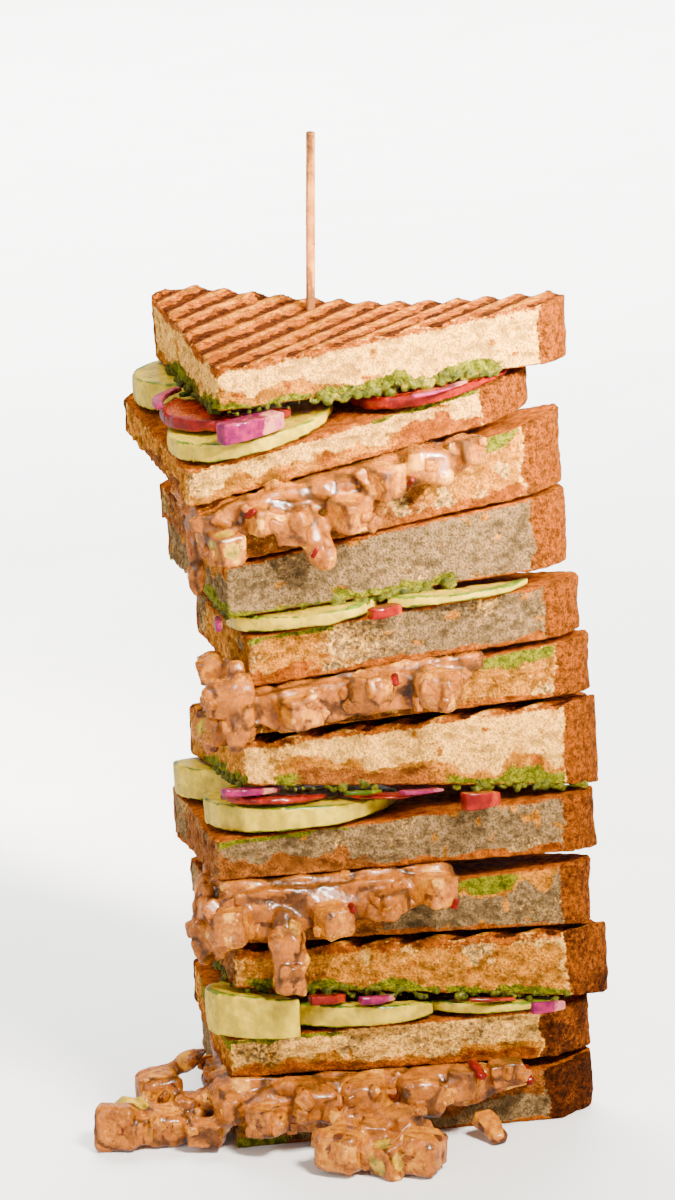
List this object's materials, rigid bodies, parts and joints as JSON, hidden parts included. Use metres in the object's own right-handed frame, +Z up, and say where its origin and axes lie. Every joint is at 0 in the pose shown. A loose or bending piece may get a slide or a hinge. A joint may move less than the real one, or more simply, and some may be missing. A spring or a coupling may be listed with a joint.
{
  "type": "club sandwich",
  "caption": "Tower of quartered, grilled club sandwiches with creamy filling, cucumber, tomato and onion, held by a wooden pick.",
  "frame": {"origin": "on the table under the middle of the lowest slice", "axes": "+Z up the tower; the front cut faces look towards -Y and the left ones towards -X"},
  "size_m": [0.1182, 0.1144, 0.2191],
  "materials": {
    "bread": "matte, toasted",
    "cucumber": "wet",
    "tomato": "wet",
    "onion": "wet",
    "pepper": "wet",
    "filling": "creamy, glossy",
    "pick": "bare wood"
  },
  "bodies": {
    "root": {"bread_01": "bread", "bread_02": "bread", "bread_03": "bread", "bread_04": "bread", "bread_05": "bread", "bread_06": "bread", "bread_07": "bread", "bread_08": "bread", "bread_09": "bread", "bread_10": "bread", "bread_11": "bread", "bread_12": "bread", "cucumber_1a": "cucumber", "cucumber_1b": "cucumber", "cucumber_2a": "cucumber", "cucumber_2b": "cucumber", "cucumber_3a": "cucumber", "cucumber_3b": "cucumber", "cucumber_4a": "cucumber", "cucumber_4b": "cucumber", "cucumber_4c": "cucumber", "tomato_1a": "tomato", "tomato_1b": "tomato", "tomato_2": "tomato", "tomato_3a": "tomato", "tomato_3b": "tomato", "tomato_3c": "tomato", "tomato_4a": "tomato", "tomato_4b": "tomato", "onion_1a": "onion", "onion_1b": "onion", "onion_1c": "onion", "onion_2": "onion", "onion_3a": "onion", "onion_3b": "onion", "onion_4a": "onion", "onion_4b": "onion", "pepper_1": "pepper", "pepper_3": "pepper", "filling_1": "filling", "filling_2": "filling", "filling_3": "filling", "filling_4": "filling", "fallen_bit": "filling", "pick": "pick"}
  },
  "joints": []
}
